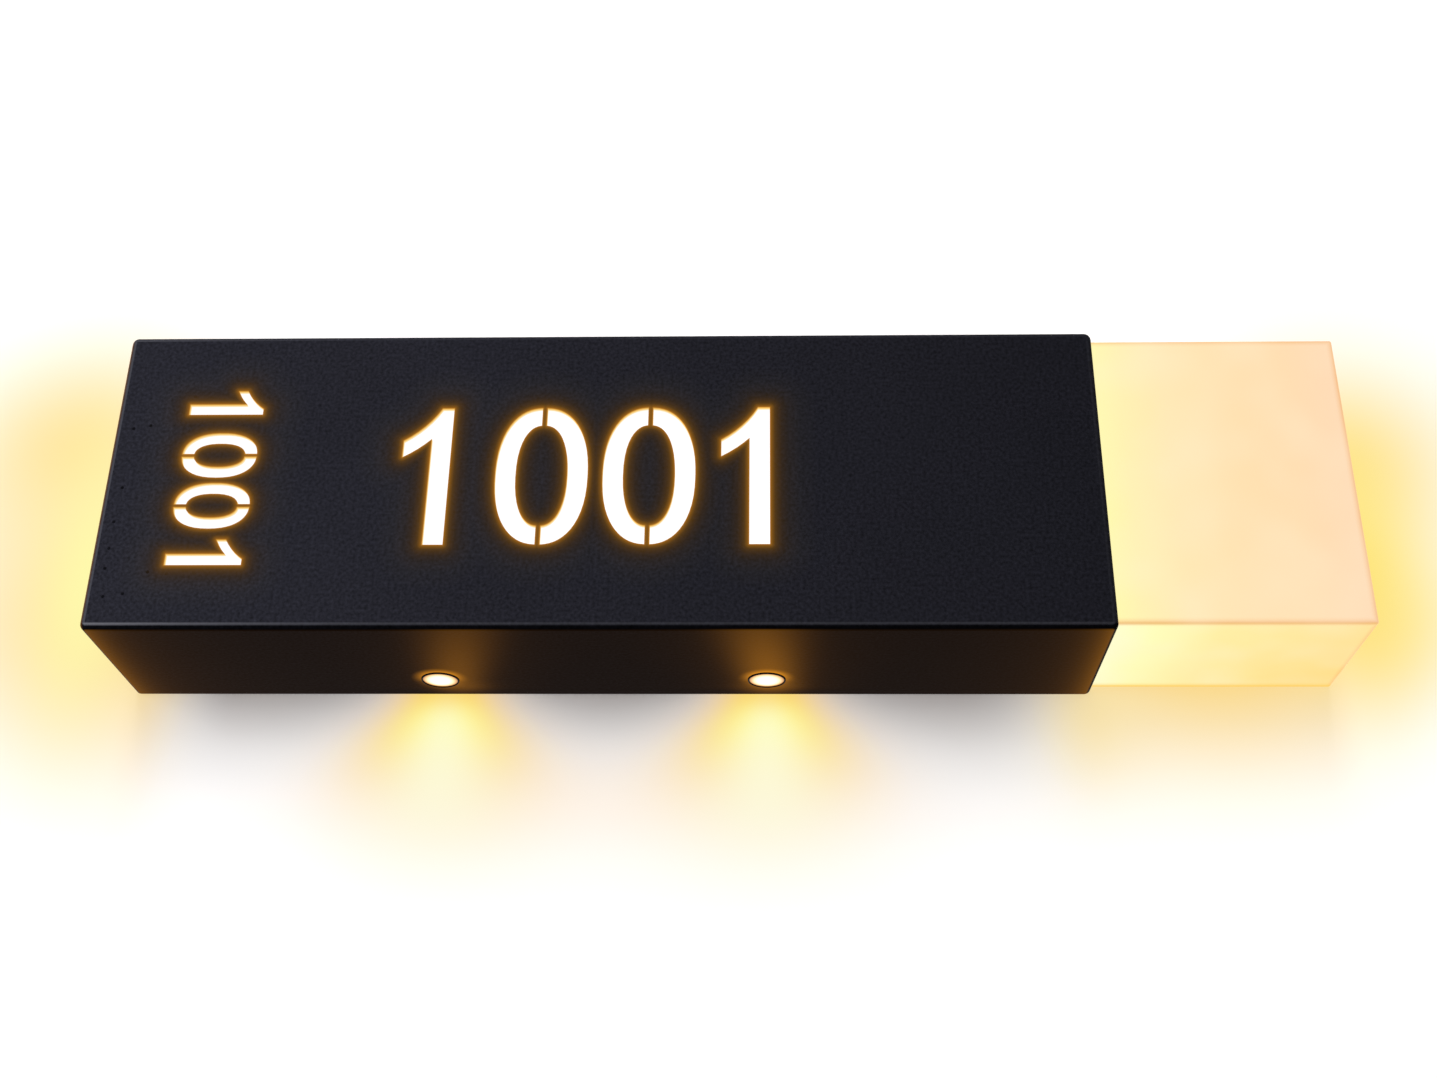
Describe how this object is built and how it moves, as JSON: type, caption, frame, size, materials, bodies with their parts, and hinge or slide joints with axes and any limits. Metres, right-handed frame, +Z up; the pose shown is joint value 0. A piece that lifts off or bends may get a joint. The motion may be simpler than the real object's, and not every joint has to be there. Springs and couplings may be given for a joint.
{
  "type": "wall light",
  "caption": "Black box wall light with cut-out glowing room number, frosted block at one end, downlights below, and a cover that pulls off a slotted wall bracket.",
  "frame": {"origin": "on the wall plane (the bracket's back face) behind the middle of the black shell", "axes": "+X along the shell towards the frosted block, +Y into the wall, +Z up"},
  "size_m": [0.374, 0.052, 0.1032],
  "materials": {
    "black_powder_coat": "satin near-black powder coat on 1.5 mm sheet",
    "frosted_acrylic": "opal cast acrylic, frosted",
    "clear_lens": "clear polished acrylic",
    "black_anodised": "black anodised",
    "white_reflector": "matt white coat",
    "circuit_board": "white solder mask",
    "chip_phosphor": "yellow phosphor",
    "zinc_steel": "bright zinc plate",
    "earth_brass": "plain brass",
    "black_steel": "black oxide",
    "white_plastic": "moulded polycarbonate",
    "grey_plastic": "moulded nylon",
    "black_foam": "closed-cell foam tape",
    "orange_plastic": "moulded nylon",
    "lead_brown": "smooth insulation",
    "lead_blue": "smooth insulation",
    "lead_green": "smooth insulation",
    "lead_white": "smooth insulation"
  },
  "bodies": {
    "bracket": {"wall_bracket": "zinc_steel", "cable_bushing": "grey_plastic", "clinch_nuts": "zinc_steel", "earth_stud": "earth_brass", "earth_washer": "zinc_steel", "earth_nut": "earth_brass"},
    "cover": {"board_screws": "zinc_steel", "diffuser": "frosted_acrylic", "diffuser_board": "circuit_board", "diffuser_board_lead": "lead_white", "diffuser_carrier": "zinc_steel", "diffuser_chips": "chip_phosphor", "diffuser_screws": "zinc_steel", "driver_case": "white_plastic", "driver_lid": "white_plastic", "driver_output_lead": "lead_white", "driver_pad": "black_foam", "earth_lead": "lead_green", "earth_lug": "zinc_steel", "led_splitter": "white_plastic", "left_board": "circuit_board", "left_board_lead": "lead_white", "left_chips": "chip_phosphor", "left_window": "frosted_acrylic", "lever_pin": "zinc_steel", "light_tray": "white_reflector", "live_lead": "lead_brown", "neutral_lead": "lead_blue", "number_board": "circuit_board", "number_board_lead": "lead_white", "number_chips": "chip_phosphor", "number_panel": "frosted_acrylic", "shell": "black_powder_coat", "spot_left_board": "circuit_board", "spot_left_body": "black_anodised", "spot_left_cap": "black_anodised", "spot_left_lead": "lead_white", "spot_left_lens": "clear_lens", "spot_left_nut": "black_anodised", "spot_left_reflector": "white_reflector", "spot_right_board": "circuit_board", "spot_right_body": "black_anodised", "spot_right_cap": "black_anodised", "spot_right_lead": "lead_white", "spot_right_lens": "clear_lens", "spot_right_nut": "black_anodised", "spot_right_reflector": "white_reflector", "stud_nuts": "zinc_steel", "supply_connector": "grey_plastic", "weld_studs": "zinc_steel"},
    "left_screw": {"cover_screw_left": "black_steel"},
    "right_screw": {"cover_screw_right": "black_steel"},
    "live_lever": {"lever_live": "orange_plastic"},
    "neutral_lever": {"lever_neutral": "orange_plastic"},
    "earth_lever": {"lever_earth": "orange_plastic"}
  },
  "joints": [
    {"name": "cover_pull", "type": "slide", "parent": "bracket", "child": "cover", "axis": [0, -1, 0], "range_m": [0, 0.08]},
    {"name": "left_screw_turn", "type": "hinge", "parent": "bracket", "child": "left_screw", "pos_m": [-0.091, -0.007, 0.05], "axis": [0, 0, 1], "range_deg": [0, 540]},
    {"name": "right_screw_turn", "type": "hinge", "parent": "bracket", "child": "right_screw", "pos_m": [0.091, -0.007, 0.05], "axis": [0, 0, 1], "range_deg": [0, 540]},
    {"name": "live_lever_open", "type": "hinge", "parent": "cover", "child": "live_lever", "pos_m": [-0.0346, -0.0219, 0.0112], "axis": [-1, 0, 0], "range_deg": [0, 85]},
    {"name": "neutral_lever_open", "type": "hinge", "parent": "cover", "child": "neutral_lever", "pos_m": [-0.028, -0.0219, 0.0112], "axis": [-1, 0, 0], "range_deg": [0, 85]},
    {"name": "earth_lever_open", "type": "hinge", "parent": "cover", "child": "earth_lever", "pos_m": [-0.0214, -0.0219, 0.0112], "axis": [-1, 0, 0], "range_deg": [0, 85]}
  ]
}
